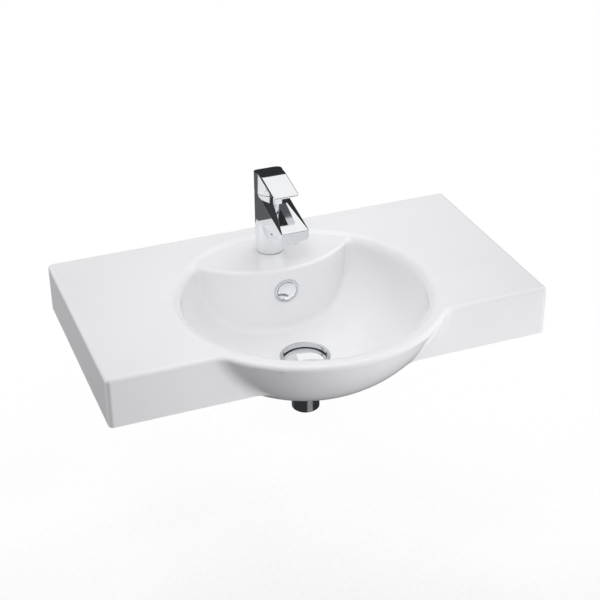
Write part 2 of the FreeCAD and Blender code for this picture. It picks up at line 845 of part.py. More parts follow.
column = place(rod("column", s.column_radius, s.parting_height + s.column_radius), 0, tap_y, base_z)
spout = padded("spout", "YZ_Plane", [
    (tap_y, spout_floor(tap_y)),
    (tap_y, flat_height(tap_y)),
    (tip_y, tip_top),
    (tip_y, tip_bottom),
], s.spout_width)


def facet_block(name, side):
    # block over a facet, which leans inwards from the shoulder line
    span = s.spout_width / 2
    piece = block(name, span, s.spout_reach / cosine(s.spout_slope) + s.column_radius, 2 * s.column_radius)
    inset = span * cosine(s.facet_angle) if side > 0 else as_size(0.0)
    rise = span * sine(s.facet_angle) if side > 0 else as_size(0.0)
    place(piece, side * span - inset, tip_y - rise * sine(s.spout_slope),
          shoulder_height(tip_y) + rise * cosine(s.spout_slope))
    along = Rotation(Vector(1, 0, 0), s.spout_slope.value)
    lean = Rotation(Vector(0, 1, 0), side * s.facet_angle.value)
    piece.Placement = Placement(piece.Placement.Base, along.multiply(lean))
    return piece


def along_top(edge):
    # lines that run along the facets
    points = edge.discretize(5)
    above = all(point.z > shoulder_height(as_size(point.y)).value - 0.01 for point in points)
    return above and edge.BoundBox.YLength > s.spout_reach.value / 2


def around_tip(edge):
    return near(edge.BoundBox.YMin, tip_y.value) and near(edge.BoundBox.YMax, tip_y.value)


faceted = cut("faceted", spout, facet_block("left_facet", -1), facet_block("right_facet", 1))
spout_soft = rounded("spout_soft", faceted, s.spout_edge, along_top)
spout_under = rounded(
    "spout_under", spout_soft, s.spout_round,
    lambda edge: follows(edge, spout_floor) and abs(middle(edge).x) > 1)
spout_tip = rounded("spout_tip", spout_under, smaller(s.tip_corner, s.spout_edge - s.fit_gap), around_tip)
aerator_y = tap_y - s.aerator_forward
aerator_z = deck + s.aerator_face
outlet_pad = rod("outlet_pad", s.aerator_radius + s.aerator_boss, s.aerator_depth)
place(outlet_pad, 0, aerator_y, aerator_z)
casting = fused("casting", column, spout_tip, outlet_pad)

# The column ends in a ball-shaped shoulder about the lever's pivot, so that the head can tilt and turn over it.
# The root of the spout is flat below the head's skirt.
shoulder_room = rod("shoulder_room", s.column_radius + s.swing_room, 2 * s.column_radius)
stacked(shoulder_room, 0, 0, pivot_up)
root_room = stacked(rod("root_room", s.root_reach, 2 * s.column_radius), 0, 0, -s.skirt_drop - s.root_gap)
head_room = fused("head_room", shoulder_room, root_room)
shoulder_waste = cut("shoulder_waste", head_room, globe("shoulder_globe", s.dome_radius))
bore_radius = s.cartridge_radius + s.slide_gap
cartridge_bore = stacked(rod("cartridge_bore", bore_radius, 2 * s.cartridge_depth), 0, 0, -s.cartridge_depth)
nut_seat = stacked(rod("nut_seat", s.nut_radius + s.fit_gap, s.cartridge_depth), 0, 0, -s.cartridge_top)
inlets = []
for side, word in ((-1, "hot"), (1, "cold")):
    inlet = rod(f"inlet_{word}", s.inlet_radius, parting_z - s.cartridge_depth - base_z + s.seat_gap)
    inlets.append(place(inlet, side * s.inlet_spread, tap_y - s.inlet_forward, base_z))
port_y = tap_y - s.port_front
port_z = parting_z - s.cartridge_depth
way_low = port_z - 2 * s.waterway_radius
outlet_drop = place(rod("outlet_drop", s.port_radius, 2 * s.waterway_radius + s.seat_gap), 0, port_y, way_low)
waterway = rod("waterway", s.waterway_radius, (port_y - aerator_y) / cosine(s.waterway_rise))
place(waterway, 0, port_y, way_low, 90.0 - s.waterway_rise)
aerator_hole = rod("aerator_hole", s.aerator_radius + s.fit_gap,
                   s.aerator_lip + s.aerator_depth + s.aerator_washer + s.waterway_radius)
place(aerator_hole, 0, aerator_y, aerator_z - s.aerator_lip)
stud_y = tap_y + s.stud_back
stud_fit = s.stud_radius + s.fit_gap
stud_hole = place(rod("stud_hole", stud_fit, s.stud_bury), 0, stud_y, base_z)


def dot_rod(name, radius, length):
    # short rod that sinks into the column's front, a little to the left of the middle
    piece = rod(name, radius, length)
    reach = s.column_radius - s.dot_depth
    place(piece, -reach * sine(s.dot_angle), tap_y - reach * cosine(s.dot_angle), deck + s.dot_height)
    to_front = Rotation(Vector(1, 0, 0), 90)
    to_left = Rotation(Vector(0, 0, 1), -s.dot_angle.value)
    piece.Placement = Placement(piece.Placement.Base, to_left.multiply(to_front))
    return piece


dot_hole = dot_rod("dot_hole", s.dot_radius + s.fit_gap, 2 * s.dot_depth)
keep(cut("tap_body", casting, shoulder_waste, cartridge_bore, nut_seat, *inlets, outlet_drop, waterway,
         aerator_hole, stud_hole, dot_hole), "tap_body")
keep(dot_rod("temperature_dot", s.dot_radius, s.dot_depth + s.seat_gap / 2), "temperature_dot")

# Mixer fixing: gasket under the base, stud, horseshoe gasket and plate under the deck, nut.
base_gasket = ring("tap_base_gasket", s.base_gasket_radius - s.base_gasket_width, s.base_gasket_radius, 0,
                   s.base_gasket)
keep(place(base_gasket, 0, tap_y, platform_z), "tap_base_gasket")
stud_low = base_z - s.stud_tail
keep(place(rod("tap_stud", s.stud_radius, s.stud_tail + s.stud_bury), 0, stud_y, stud_low), "tap_stud")
under_deck = deck - s.deck_thick


def horseshoe(name, top, thickness):
    disc = place(rod(f"{name}_disc", s.clamp_radius, thickness), 0, tap_y, top - thickness)
    slot = block(f"{name}_slot", s.clamp_slot, 2 * s.clamp_radius, 2 * thickness)
    place(slot, -s.clamp_slot / 2, tap_y + s.clamp_slot_back - 2 * s.clamp_radius, top - 1.5 * thickness)
    hole = place(rod(f"{name}_hole", stud_fit, 2 * thickness), 0, stud_y, top - 1.5 * thickness)
    return keep(cut(name, disc, slot, hole), name)


horseshoe("horseshoe_gasket", under_deck, s.clamp_gasket)
horseshoe("horseshoe_plate", under_deck - s.clamp_gasket, s.clamp_plate)
stud_nut_low = under_deck - s.clamp_gasket - s.clamp_plate - s.stud_nut_height
stud_nut_solid = place(hexagon("stud_nut_solid", s.stud_nut_flats, s.stud_nut_height), 0, stud_y, stud_nut_low)
stud_nut_bore = place(rod("stud_nut_bore", stud_fit, 2 * s.stud_nut_height), 0, stud_y,
                      stud_nut_low - s.stud_nut_height / 2)
keep(cut("stud_nut", stud_nut_solid, stud_nut_bore), "stud_nut")

# Aerator: flanged housing in the spout, perforated insert on its lip, washer above.
housing_bore = s.aerator_radius - s.aerator_wall
insert_ledge = housing_bore - s.aerator_wall
aerator_housing = turned("aerator_housing", [
    (insert_ledge, -s.aerator_lip),
    (s.aerator_radius + s.aerator_flange, -s.aerator_lip),
    (s.aerator_radius + s.aerator_flange, 0),
    (s.aerator_radius, 0),
    (s.aerator_radius, s.aerator_depth),
    (housing_bore, s.aerator_depth),
    (housing_bore, -s.aerator_lip / 2),
    (insert_ledge, -s.aerator_lip / 2),
])
keep(place(aerator_housing, 0, aerator_y, aerator_z), "aerator_housing")
insert_disc = place(rod("insert_disc", housing_bore - s.fit_gap, s.aerator_mesh), 0, aerator_y,
                    aerator_z - s.aerator_lip / 2)
jets = []
for circle, count in enumerate((1, 6, 12)):
    for step in range(count):
        angle = as_size(360.0 * step / count)
        reach = circle * s.jet_pitch
        jet = rod(f"jet_{circle}_{step}", s.jet_radius, 2 * s.aerator_mesh)
        jet_y = aerator_y + reach * sine(angle)
        jets.append(place(jet, reach * cosine(angle), jet_y, aerator_z - s.aerator_lip))
keep(cut("aerator_insert", insert_disc, fused("jet_group", *jets)), "aerator_insert")
aerator_washer = ring("aerator_washer", insert_ledge, s.aerator_radius, 0, s.aerator_washer)
keep(place(aerator_washer, 0, aerator_y, aerator_z + s.aerator_depth), "aerator_washer")

# Cartridge, from the bottom up.
base_low = -s.cartridge_depth
base_top = base_low + s.cartridge_base
fixed_top = base_top + s.fixed_disc_thick
moving_low = fixed_top + s.fit_gap
moving_top = moving_low + s.moving_disc_thick
housing_inner = s.cartridge_radius - s.cartridge_wall
ports = (
    ("hot", -s.inlet_spread, -s.inlet_forward),
    ("cold", s.inlet_spread, -s.inlet_forward),
    ("mixed", as_size(0.0), -s.port_front),
)


def port_rods(name, radius, low, length):
    return [stacked(rod(f"{name}_{word}", radius, length), x, back, low) for word, x, back in ports]


base_plate = stacked(rod("base_plate", s.cartridge_radius, s.cartridge_base), 0, 0, base_low)
base_ports = port_rods("base_port", s.port_radius, base_low - s.cartridge_base, 3 * s.cartridge_base)
base_grooves = port_rods("base_groove", s.port_seal_radius + s.fit_gap, base_low - s.port_seal_height,
                         2 * s.port_seal_height)
keep(cut("cartridge_base", base_plate, *base_ports, *base_grooves), "cartridge_base")
seal_rods = port_rods("port_seal", s.port_seal_radius, base_low, s.port_seal_height)
seal_bores = port_rods("port_seal_bore", s.port_radius, base_low - s.port_seal_height, 3 * s.port_seal_height)
port_seals = doc.addObject("Part::Compound", "cartridge_seals")
port_seals.Links = [cut(f"port_ring_{port[0]}", outer, inner)
                    for port, outer, inner in zip(ports, seal_rods, seal_bores)]
keep(port_seals, "cartridge_seals")
disc_plate = stacked(rod("disc_plate", housing_inner - s.fit_gap, s.fixed_disc_thick), 0, 0, base_top)
disc_ports = port_rods("disc_port", s.port_radius, base_top - s.fixed_disc_thick, 3 * s.fixed_disc_thick)
keep(cut("fixed_disc", disc_plate, *disc_ports), "fixed_disc")
moving_plate = stacked(rod("moving_plate", s.moving_disc_radius, s.moving_disc_thick), 0, 0, moving_low)
pocket = stacked(rod("pocket", s.mixing_pocket, 2 * s.mixing_pocket_depth), 0, 0,
                 moving_low - s.mixing_pocket_depth)
keep(cut("moving_disc", moving_plate, pocket), "moving_disc")
ball_up = pivot_up - s.spindle_arm
guide_low = ball_up + s.ball_radius / 2
carrier_top = guide_low - s.guide_lift
carrier = stacked(rod("carrier", s.moving_disc_radius, carrier_top - moving_top), 0, 0, moving_top)
socket_floor = ball_up - s.ball_radius - s.ball_room
ball_socket = stacked(rod("ball_socket", s.ball_radius + s.ball_room, 3 * s.ball_radius), 0, 0, socket_floor)
keep(cut("disc_carrier", carrier, ball_socket), "disc_carrier")
roof_low = -s.cartridge_top - s.cartridge_roof
cartridge_housing = turned("cartridge_housing", [
    (s.cartridge_radius, base_top),
    (s.cartridge_radius, -s.cartridge_top),
    (s.neck_radius + s.slide_gap, -s.cartridge_top),
    (s.neck_radius + s.slide_gap, roof_low),
    (housing_inner, roof_low),
    (housing_inner, base_top),
])
keep(stacked(cartridge_housing), "cartridge_housing")

# Spindle guide turns with the lever; the spindle tilts in it on a cross pin.
guide_shoulder = roof_low - s.slide_gap
guide_radius = housing_inner - s.slide_gap
guide_turned = turned("guide_turned", [
    (0, guide_low),
    (guide_radius, guide_low),
    (guide_radius, guide_shoulder),
    (s.neck_radius, guide_shoulder),
    (s.neck_radius, s.neck_top),
    (0, s.neck_top),
])
stacked(guide_turned)
square = s.spindle_square
slot_room = square + 2 * s.slide_gap
lift_tangent = tangent(s.lift_angle)
swing_back = slot_room / 2 + (s.neck_top - pivot_up) * lift_tangent + square / 2
swing_front = slot_room / 2 + s.spindle_arm * lift_tangent
upper_slot = block("upper_slot", slot_room, slot_room / 2 + swing_back, s.neck_top - pivot_up + s.ball_radius)
stacked(upper_slot, -slot_room / 2, -slot_room / 2, pivot_up)
lower_slot = block("lower_slot", slot_room, slot_room / 2 + swing_front, 2 * s.spindle_arm)
stacked(lower_slot, -slot_room / 2, -swing_front, pivot_up - 2 * s.spindle_arm)


def cross_rod(name, radius, length):
    # rod along X through the lever's pivot
    piece = stacked(rod(name, radius, length), -length / 2, 0, pivot_up)
    piece.Placement = Placement(piece.Placement.Base, Rotation(Vector(0, 1, 0), 90))
    return piece


hub_room = cross_rod("hub_room", square * math.sqrt(0.5) + s.slide_gap, slot_room)
guide_pin_hole = cross_rod("guide_pin_hole", s.pin_radius + s.fit_gap, 3 * s.pin_length)
keep(cut("spindle_guide", guide_turned, upper_slot, lower_slot, hub_room, guide_pin_hole), "spindle_guide")
keep(cross_rod("spindle_pin", s.pin_radius, s.pin_length), "spindle_pin")
square_bar = block("square_bar", square, square, s.spindle_top - pivot_up)
stacked(square_bar, -square / 2, -square / 2, pivot_up)
hub = cross_rod("hub", square / 2, square)
shank = stacked(rod("shank", s.shank_radius, s.spindle_arm), 0, 0, ball_up)
ball = doc.addObject("Part::Sphere", "ball")
bind(ball, "Radius", s.ball_radius)
stacked(ball, 0, 0, ball_up)
spindle_pin_hole = cross_rod("spindle_pin_hole", s.pin_radius + s.fit_gap, 2 * square)
keep(cut("spindle", fused("spindle_solid", square_bar, hub, shank, ball), spindle_pin_hole), "spindle")

# Clamping nut over the cartridge, and the dome ring on it that carries on the body's ball-shaped shoulder.
nut_ring = ring("nut_ring", s.nut_bore, s.nut_radius, -s.cartridge_top, 0)
stacked(nut_ring)
nut_hex = stacked(hexagon("nut_hex", s.nut_flats, s.nut_hex))
nut_hex_bore = stacked(rod("nut_hex_bore", s.nut_bore, 3 * s.nut_hex), 0, 0, -s.nut_hex)
keep(fused("cartridge_nut", nut_ring, cut("nut_hex_ring", nut_hex, nut_hex_bore)), "cartridge_nut")
dome_inner = s.dome_radius - s.dome_wall
skirt_inner = s.nut_radius - s.dome_wall
dome = turned("cartridge_dome", [
    (skirt_inner, 0),
    (s.nut_radius, 0),
    (s.nut_radius, pivot_up + other_side(s.dome_radius, s.nut_radius), s.dome_radius),
    (s.dome_opening, pivot_up + other_side(s.dome_radius, s.dome_opening)),
    (s.dome_opening, pivot_up + other_side(dome_inner, s.dome_opening), -dome_inner),
    (skirt_inner, pivot_up + other_side(dome_inner, skirt_inner)),
])
keep(stacked(dome), "cartridge_dome")

# Lever: its side view, a plate that slopes to the front and rounds over to the back, meets its plan view.
lever_tip_y = tap_y - s.lever_reach
crown_y = tap_y - s.crown_forward
lever_plane = deck + s.lever_top


def plate_height(y):
    return lever_plane + (y - tap_y) * tangent(s.lever_slope)


arc_y = crown_y + s.crown_radius * sine(s.lever_slope)
arc_z = plate_height(crown_y) - s.crown_radius * cosine(s.lever_slope)


def lever_height(y):
    # top of the lever: flat plate in front, arc behind
    if y.value < crown_y.value:
        return plate_height(y)
    return arc_z + other_side(s.crown_radius, y - arc_y)


heel_y = tap_y + s.column_radius + s.seat_gap
skirt_z = parting_z - s.skirt_drop
lever_side = padded("lever_side", "YZ_Plane", [
    (heel_y, skirt_z),
    (lever_tip_y, skirt_z),
    (lever_tip_y, plate_height(lever_tip_y)),
    (crown_y, plate_height(crown_y), -s.crown_radius),
    (heel_y, lever_height(heel_y)),
], 2 * (s.column_radius + s.seat_gap))
plan_height = s.lever_top - s.parting_height + s.skirt_drop
plan_column = stacked(rod("plan_column", s.column_radius, plan_height), 0, 0, -s.skirt_drop)
plan_block = block("plan_block", s.lever_width, s.lever_reach, plan_height)
stacked(plan_block, -s.lever_width / 2, -s.lever_reach, -s.skirt_drop)
plan_nose = rounded(
    "plan_nose", plan_block, s.lever_corner,
    lambda edge: upright(edge) and near(middle(edge).y, lever_tip_y.value))
lever_casting = doc.addObject("Part::Common", "lever_casting")
lever_casting.Base = lever_side
lever_casting.Tool = fused("lever_plan", plan_column, plan_nose)
lever_soft = rounded("lever_soft", lever_casting, s.lever_edge, lambda edge: follows(edge, lever_height))
plate_fall = tangent(s.lever_slope) - (s.plate_root - s.lever_tip) / s.lever_reach
plate_under = plate_height(tap_y) - s.plate_root
finger_front = s.lever_reach + s.lever_tip
finger_side = padded("finger_side", "YZ_Plane", [
    (tap_y, skirt_z - s.lever_tip),
    (tap_y - finger_front, skirt_z - s.lever_tip),
    (tap_y - finger_front, plate_under - finger_front * plate_fall),
    (tap_y, plate_under),
], 2 * (s.column_radius + s.seat_gap))
head_round = stacked(rod("head_round", s.column_radius, 2 * plan_height), 0, 0, -plan_height)
finger_room = cut("finger_room", finger_side, head_round)
head_space = globe("head_space", s.dome_radius + s.head_gap)
socket_room = square + 2 * s.fit_gap
socket = stacked(block("socket", socket_room, socket_room, s.spindle_top + s.fit_gap), -socket_room / 2,
                 -socket_room / 2, 0)
screw_start = square / 2 + s.fit_gap
screw_hole = rod("screw_hole", s.screw_radius + s.fit_gap, 2 * s.column_radius)
stacked(screw_hole, 0, 0, s.screw_height, -90)
keep(cut("lever", lever_soft, finger_room, head_space, socket, screw_hole), "lever")
lever_screw = stacked(rod("lever_screw", s.screw_radius, s.screw_length), 0, screw_start, s.screw_height, -90)
keep(lever_screw, "lever_screw")
plug_rod = rod("plug_rod", s.screw_radius, 2 * s.column_radius)
stacked(plug_rod, 0, screw_start + s.screw_length, s.screw_height, -90)
lever_plug = doc.addObject("Part::Common", "lever_plug")
lever_plug.Base = plug_rod
lever_plug.Tool = lever_soft
keep(lever_plug, "lever_plug")

doc.recompute()
for item in doc.Objects:
    if "Invalid" in item.State or "Error" in item.State:
        raise RuntimeError(f"{item.Label}: {item.State}")
for node in nodes:
    if node.Shape.isNull() or not node.Shape.isValid() or not node.Shape.Solids:
        raise RuntimeError(f"{node.Label}: no valid solid")

os.makedirs("parts", exist_ok=True)
for node in nodes:
    node.Shape.exportStep(f"parts/{node.Label}.step")
    print(f"{node.Label}: {len(node.Shape.Solids)} solid, {node.Shape.Volume / 1000:.2f} cm3")
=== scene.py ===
import json
import math

import bpy
from mathutils import Matrix, Vector

# wall-hung basin in white glaze, with a chromed mixer and waste
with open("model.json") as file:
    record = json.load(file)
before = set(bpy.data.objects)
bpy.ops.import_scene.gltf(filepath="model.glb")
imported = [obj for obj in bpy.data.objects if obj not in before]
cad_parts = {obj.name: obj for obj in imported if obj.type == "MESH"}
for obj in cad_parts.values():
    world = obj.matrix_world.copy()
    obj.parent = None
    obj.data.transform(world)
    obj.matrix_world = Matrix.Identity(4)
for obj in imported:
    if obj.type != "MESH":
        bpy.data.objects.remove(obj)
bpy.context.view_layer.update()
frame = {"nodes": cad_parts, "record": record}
nodes = frame["nodes"]
scene = bpy.context.scene
mm = 0.001  # everything below is in metres
print("frame loaded:", len(nodes), "nodes")


# colours are written as sRGB hex and turned to linear here
def linear(hexColour):
    channels = [int(hexColour[i:i + 2], 16) / 255 for i in (1, 3, 5)]
    return tuple(c / 12.92 if c <= 0.04045 else ((c + 0.055) / 1.055) ** 2.4 for c in channels) + (1.0,)


# adds a node; an input is a value, or (node, output) for a link, and i0, i1 ... name a socket by its place
def addNode(tree, kind, settings=(), **inputs):
    node = tree.nodes.new(kind)
    for name, value in dict(settings).items():
        setattr(node, name, value)
    for name, value in inputs.items():
        byPlace = name[0] == "i" and name[1:].isdigit()
        socket = node.inputs[int(name[1:]) if byPlace else name.replace("_", " ")]
        if isinstance(value, tuple) and isinstance(value[0], bpy.types.Node):
            tree.links.new(value[0].outputs[value[1]], socket)
        else:
            socket.default_value = value
    return node


def newMaterial(name):
    material = bpy.data.materials.new(name)
    material.use_nodes = True
    tree = material.node_tree
    tree.nodes.clear()
    return material, tree


def finishMaterial(material, tree, shader):
    addNode(tree, "ShaderNodeOutputMaterial", Surface=(shader, 0))
    return material


# 1 for the rays by which the eye, metal and glass see the stage, 0 for the light that it gives
def seenRays(tree):
    path = addNode(tree, "ShaderNodeLightPath")
    seen = addNode(tree, "ShaderNodeMath", {"operation": "ADD", "use_clamp": True},
                   i0=(path, "Is Camera Ray"), i1=(path, "Is Glossy Ray"))
    return addNode(tree, "ShaderNodeMath", {"operation": "ADD", "use_clamp": True},
                   i0=(seen, 0), i1=(path, "Is Transmission Ray"))


# vitreous china, dipped in white glaze and fired: a hard gloss over a cold white, with a faint ripple where the
# glaze ran; the back face, which goes against the wall, is bare, matt and creamier
glaze = {
    "white": "#EFEFF1", "thin": "#EAEAED", "bare": "#DCD6CA", "cloudSize": 70 * mm, "cloudDetail": 2.0,
    "rippleSize": 9 * mm, "rippleDepth": 0.012 * mm, "rippleDetail": 1.0,
    "gloss": 0.09, "bareRoughness": 0.75, "bareEdge": 0.4 * mm, "ior": 1.52, "strayAngles": (7, 11),
}


def makeGlaze():
    material, tree = newMaterial("glazed vitreous china")
    place = addNode(tree, "ShaderNodeTexCoord")  # object coordinates are the part's own frame
    cloud = addNode(tree, "ShaderNodeTexNoise", Vector=(place, "Object"), Scale=1 / glaze["cloudSize"],
                    Detail=glaze["cloudDetail"])
    tone = addNode(tree, "ShaderNodeMix", {"data_type": "RGBA"}, Factor=(cloud, "Fac"),
                   i6=linear(glaze["white"]), i7=linear(glaze["thin"]))
    axes = addNode(tree, "ShaderNodeSeparateXYZ", Vector=(place, "Object"))
    back = addNode(tree, "ShaderNodeMath", {"operation": "GREATER_THAN"}, i0=(axes, "Y"), i1=-glaze["bareEdge"])
    colour = addNode(tree, "ShaderNodeMix", {"data_type": "RGBA"}, Factor=(back, 0),
                     i6=(tone, 2), i7=linear(glaze["bare"]))
    rough = addNode(tree, "ShaderNodeMapRange", Value=(back, 0), To_Min=glaze["gloss"],
                    To_Max=glaze["bareRoughness"])
    ripple = addNode(tree, "ShaderNodeTexNoise", Vector=(place, "Object"), Scale=1 / glaze["rippleSize"],
                     Detail=glaze["rippleDetail"])
    # slivers along the rim's lower seam pull a few smooth normals aside; there the face's own normal is used
    kept, dropped = (math.cos(math.radians(angle)) for angle in glaze["strayAngles"])
    face = addNode(tree, "ShaderNodeNewGeometry")
    agree = addNode(tree, "ShaderNodeVectorMath", {"operation": "DOT_PRODUCT"}, i0=(face, "Normal"),
                    i1=(face, "True Normal"))
    stray = addNode(tree, "ShaderNodeMapRange", Value=(agree, "Value"), From_Min=kept, From_Max=dropped)
    steady = addNode(tree, "ShaderNodeMix", {"data_type": "VECTOR"}, Factor=(stray, 0), i4=(face, "Normal"),
                     i5=(face, "True Normal"))
    bump = addNode(tree, "ShaderNodeBump", Height=(ripple, "Fac"), Distance=glaze["rippleDepth"], Strength=1.0,
                   Normal=(steady, 1))
    shader = addNode(tree, "ShaderNodeBsdfPrincipled", Base_Color=(colour, 2), Roughness=(rough, 0),
                     Normal=(bump, 0), IOR=glaze["ior"])
    return finishMaterial(material, tree, shader)


# bright nickel-chrome plate on polished brass: a mirror with a cool cast and a trace of wiped water marks; the plug's
# cap is buffed and its plate lightened, a painted highlight, and the overflow's ring and the waste's spun flange and
# tail are rougher and their plates darkened, painted shade, so they look greyer
chromes = {
    "tap": {"name": "polished chrome plate", "plate": "#F2F4F5", "shade": "#ECEEF0", "markSize": 26 * mm,
            "gloss": 0.03, "marked": 0.075},
    # the cap's plate is lighter than the tap's: a painted highlight
    "cap": {"name": "buffed chrome with painted highlight", "plate": "#F4F5F6", "shade": "#EDEEF0", "markSize": 18 * mm,
            "gloss": 0.05, "marked": 0.12},
    # the ring's and the waste's plates are darker than the tap's: painted shade, on top of their real roughness
    "ring": {"name": "tumbled chrome with painted shade", "plate": "#E2E4E7", "shade": "#D8DADD", "markSize": 10 * mm,
             "gloss": 0.08, "marked": 0.16},
    "waste": {"name": "satin chrome with painted shade", "plate": "#D2D4D7", "shade": "#C8CACD", "markSize": 12 * mm,
              "gloss": 0.12, "marked": 0.2},
}
chromeNodes = {"plug_cap": "cap", "overflow_ring": "ring", "waste_body": "waste", "waste_backnut": "waste"}
waterMarks = {"detail": 4.0, "clean": 0.35, "full": 0.75}  # where in the noise the marks begin and are full


def makeChrome(chrome):
    material, tree = newMaterial(chrome["name"])
    place = addNode(tree, "ShaderNodeTexCoord")
    marks = addNode(tree, "ShaderNodeTexNoise", Vector=(place, "Object"), Scale=1 / chrome["markSize"],
                    Detail=waterMarks["detail"])
    tone = addNode(tree, "ShaderNodeMix", {"data_type": "RGBA"}, Factor=(marks, "Fac"),
                   i6=linear(chrome["plate"]), i7=linear(chrome["shade"]))
    rough = addNode(tree, "ShaderNodeMapRange", Value=(marks, "Fac"), From_Min=waterMarks["clean"],
                    From_Max=waterMarks["full"], To_Min=chrome["gloss"], To_Max=chrome["marked"])
    shader = addNode(tree, "ShaderNodeBsdfPrincipled", Base_Color=(tone, 2), Roughness=(rough, 0), Metallic=1.0)
    return finishMaterial(material, tree, shader)


# finishes of the fixings, seals and inner pieces; grain is the size of the pattern, drawn coarse enough to show when
# the part is seen close, and stretch draws it out along an axis
innerFinishes = {
    # warm, with fine rings from the lathe
    "brass": {"name": "turned brass", "colour": "#C9A75E", "second": "#B08C45", "grain": 0.6 * mm,
              "rough": (0.25, 0.42), "bump": 0.02 * mm, "metal": 1.0, "stretch": (1, 1, 40)},
    # bright grey, with a faint mottle from the plating bath
    "steel": {"name": "zinc plated steel", "colour": "#B9BCC0", "second": "#A3A7AC", "grain": 1.2 * mm,
              "rough": (0.3, 0.5), "bump": 0.01 * mm, "metal": 1.0, "stretch": (1, 1, 1)},
    # near black and matt, with the mould's fine tooth
    "rubber": {"name": "moulded EPDM rubber", "colour": "#26272A", "second": "#303135", "grain": 0.8 * mm,
               "rough": (0.65, 0.85), "bump": 0.03 * mm, "metal": 0.0, "stretch": (1, 1, 1)},
    # the base gasket: grey and a little waxy, so that it shows only as a soft line
    "pale_rubber": {"name": "pale silicone rubber", "colour": "#A6A8AB", "second": "#9A9CA0", "grain": 0.8 * mm,
                    "rough": (0.5, 0.65), "bump": 0.02 * mm, "metal": 0.0, "stretch": (1, 1, 1)},
    # off-white and smooth, with a faint sheen
    "white_plastic": {"name": "moulded acetal", "colour": "#E2E2DF", "second": "#D8D8D4", "grain": 1.0 * mm,
                      "rough": (0.38, 0.5), "bump": 0.01 * mm, "metal": 0.0, "stretch": (1, 1, 1)},
    # mid grey, a little cloudy and rough
    "grey_plastic": {"name": "moulded grey nylon", "colour": "#6E7175", "second": "#62656A", "grain": 1.0 * mm,
                     "rough": (0.42, 0.58), "bump": 0.02 * mm, "metal": 0.0, "stretch": (1, 1, 1)},
    # black with a hard gloss from a polished mould
    "dark_plastic": {"name": "gloss black ABS", "colour": "#1C1D20", "second": "#232428", "grain": 1.5 * mm,
                     "rough": (0.18, 0.3), "bump": 0.005 * mm, "metal": 0.0, "stretch": (1, 1, 1)},
    # creamy white, ground so flat that it nearly mirrors
    "disc_ceramic": {"name": "lapped alumina", "colour": "#EFEADD", "second": "#E4DECF", "grain": 0.5 * mm,
                     "rough": (0.2, 0.34), "bump": 0.004 * mm, "metal": 0.0, "stretch": (1, 1, 1)},
}
grainDetail = 3.0


def makeInner(finish):
    material, tree = newMaterial(finish["name"])
    place = addNode(tree, "ShaderNodeTexCoord")
    scaled = addNode(tree, "ShaderNodeMapping", Vector=(place, "Object"), Scale=finish["stretch"])
    grain = addNode(tree, "ShaderNodeTexNoise", Vector=(scaled, 0), Scale=1 / finish["grain"], Detail=grainDetail)
    tone = addNode(tree, "ShaderNodeMix", {"data_type": "RGBA"}, Factor=(grain, "Fac"),
                   i6=linear(finish["colour"]), i7=linear(finish["second"]))
    rough = addNode(tree, "ShaderNodeMapRange", Value=(grain, "Fac"), To_Min=finish["rough"][0],
                    To_Max=finish["rough"][1])
    bump = addNode(tree, "ShaderNodeBump", Height=(grain, "Fac"), Distance=finish["bump"], Strength=1.0)
    shader = addNode(tree, "ShaderNodeBsdfPrincipled", Base_Color=(tone, 2), Roughness=(rough, 0),
                     Normal=(bump, 0), Metallic=finish["metal"])
    return finishMaterial(material, tree, shader)


materials = {"glaze": makeGlaze()}
chromePlates = {polish: makeChrome(chrome) for polish, chrome in chromes.items()}
for slot, finish in innerFinishes.items():
    materials[slot] = makeInner(finish)
for part in frame["record"]["subparts"]:
    piece = nodes[part["node"]]
    piece.data.materials.clear()
    if part["node"] == "tap_base_gasket":
        piece.data.materials.append(materials["pale_rubber"])
    elif part["material_slot"] == "chrome":
        piece.data.materials.append(chromePlates[chromeNodes.get(part["node"], "tap")])
    else:
        piece.data.materials.append(materials[part["material_slot"]])
print("materials set:", len(materials) + len(chromePlates))

# plain pale floor 850 mm under the deck; to the eye and in reflections it is a white glow, with a painted shadow under
# the basin where ambient occlusion dims it
floor = {"height": -0.805, "size": 14.0, "colour": "#D9D9DA", "shadowReach": 1.5, "shadowSamples": 16,
         "open": 0.94, "covered": 0.8, "shadow": 0.62}
bpy.ops.mesh.primitive_plane_add(size=floor["size"], location=(0, 0, floor["height"]))
floorPlane = bpy.context.object
floorPlane.name = "floor"
material, tree = newMaterial("pale studio floor")
paint = addNode(tree, "ShaderNodeBsdfDiffuse", Color=linear(floor["colour"]))
# painted shadow: the floor's glow is dimmed where ambient occlusion finds the basin above
cover = addNode(tree, "ShaderNodeAmbientOcclusion", {"samples": floor["shadowSamples"]}, Distance=floor["shadowReach"])
shadow = addNode(tree, "ShaderNodeMapRange", Value=(cover, "AO"), From_Min=floor["covered"], From_Max=floor["open"],
                 To_Min=floor["shadow"], To_Max=1.0)
white = addNode(tree, "ShaderNodeEmission", Color=linear("#FFFFFF"), Strength=(shadow, 0))
blend = addNode(tree, "ShaderNodeMixShader", Fac=(seenRays(tree), 0), i1=(paint, 0), i2=(white, 0))
floorPlane.data.materials.append(finishMaterial(material, tree, blend))

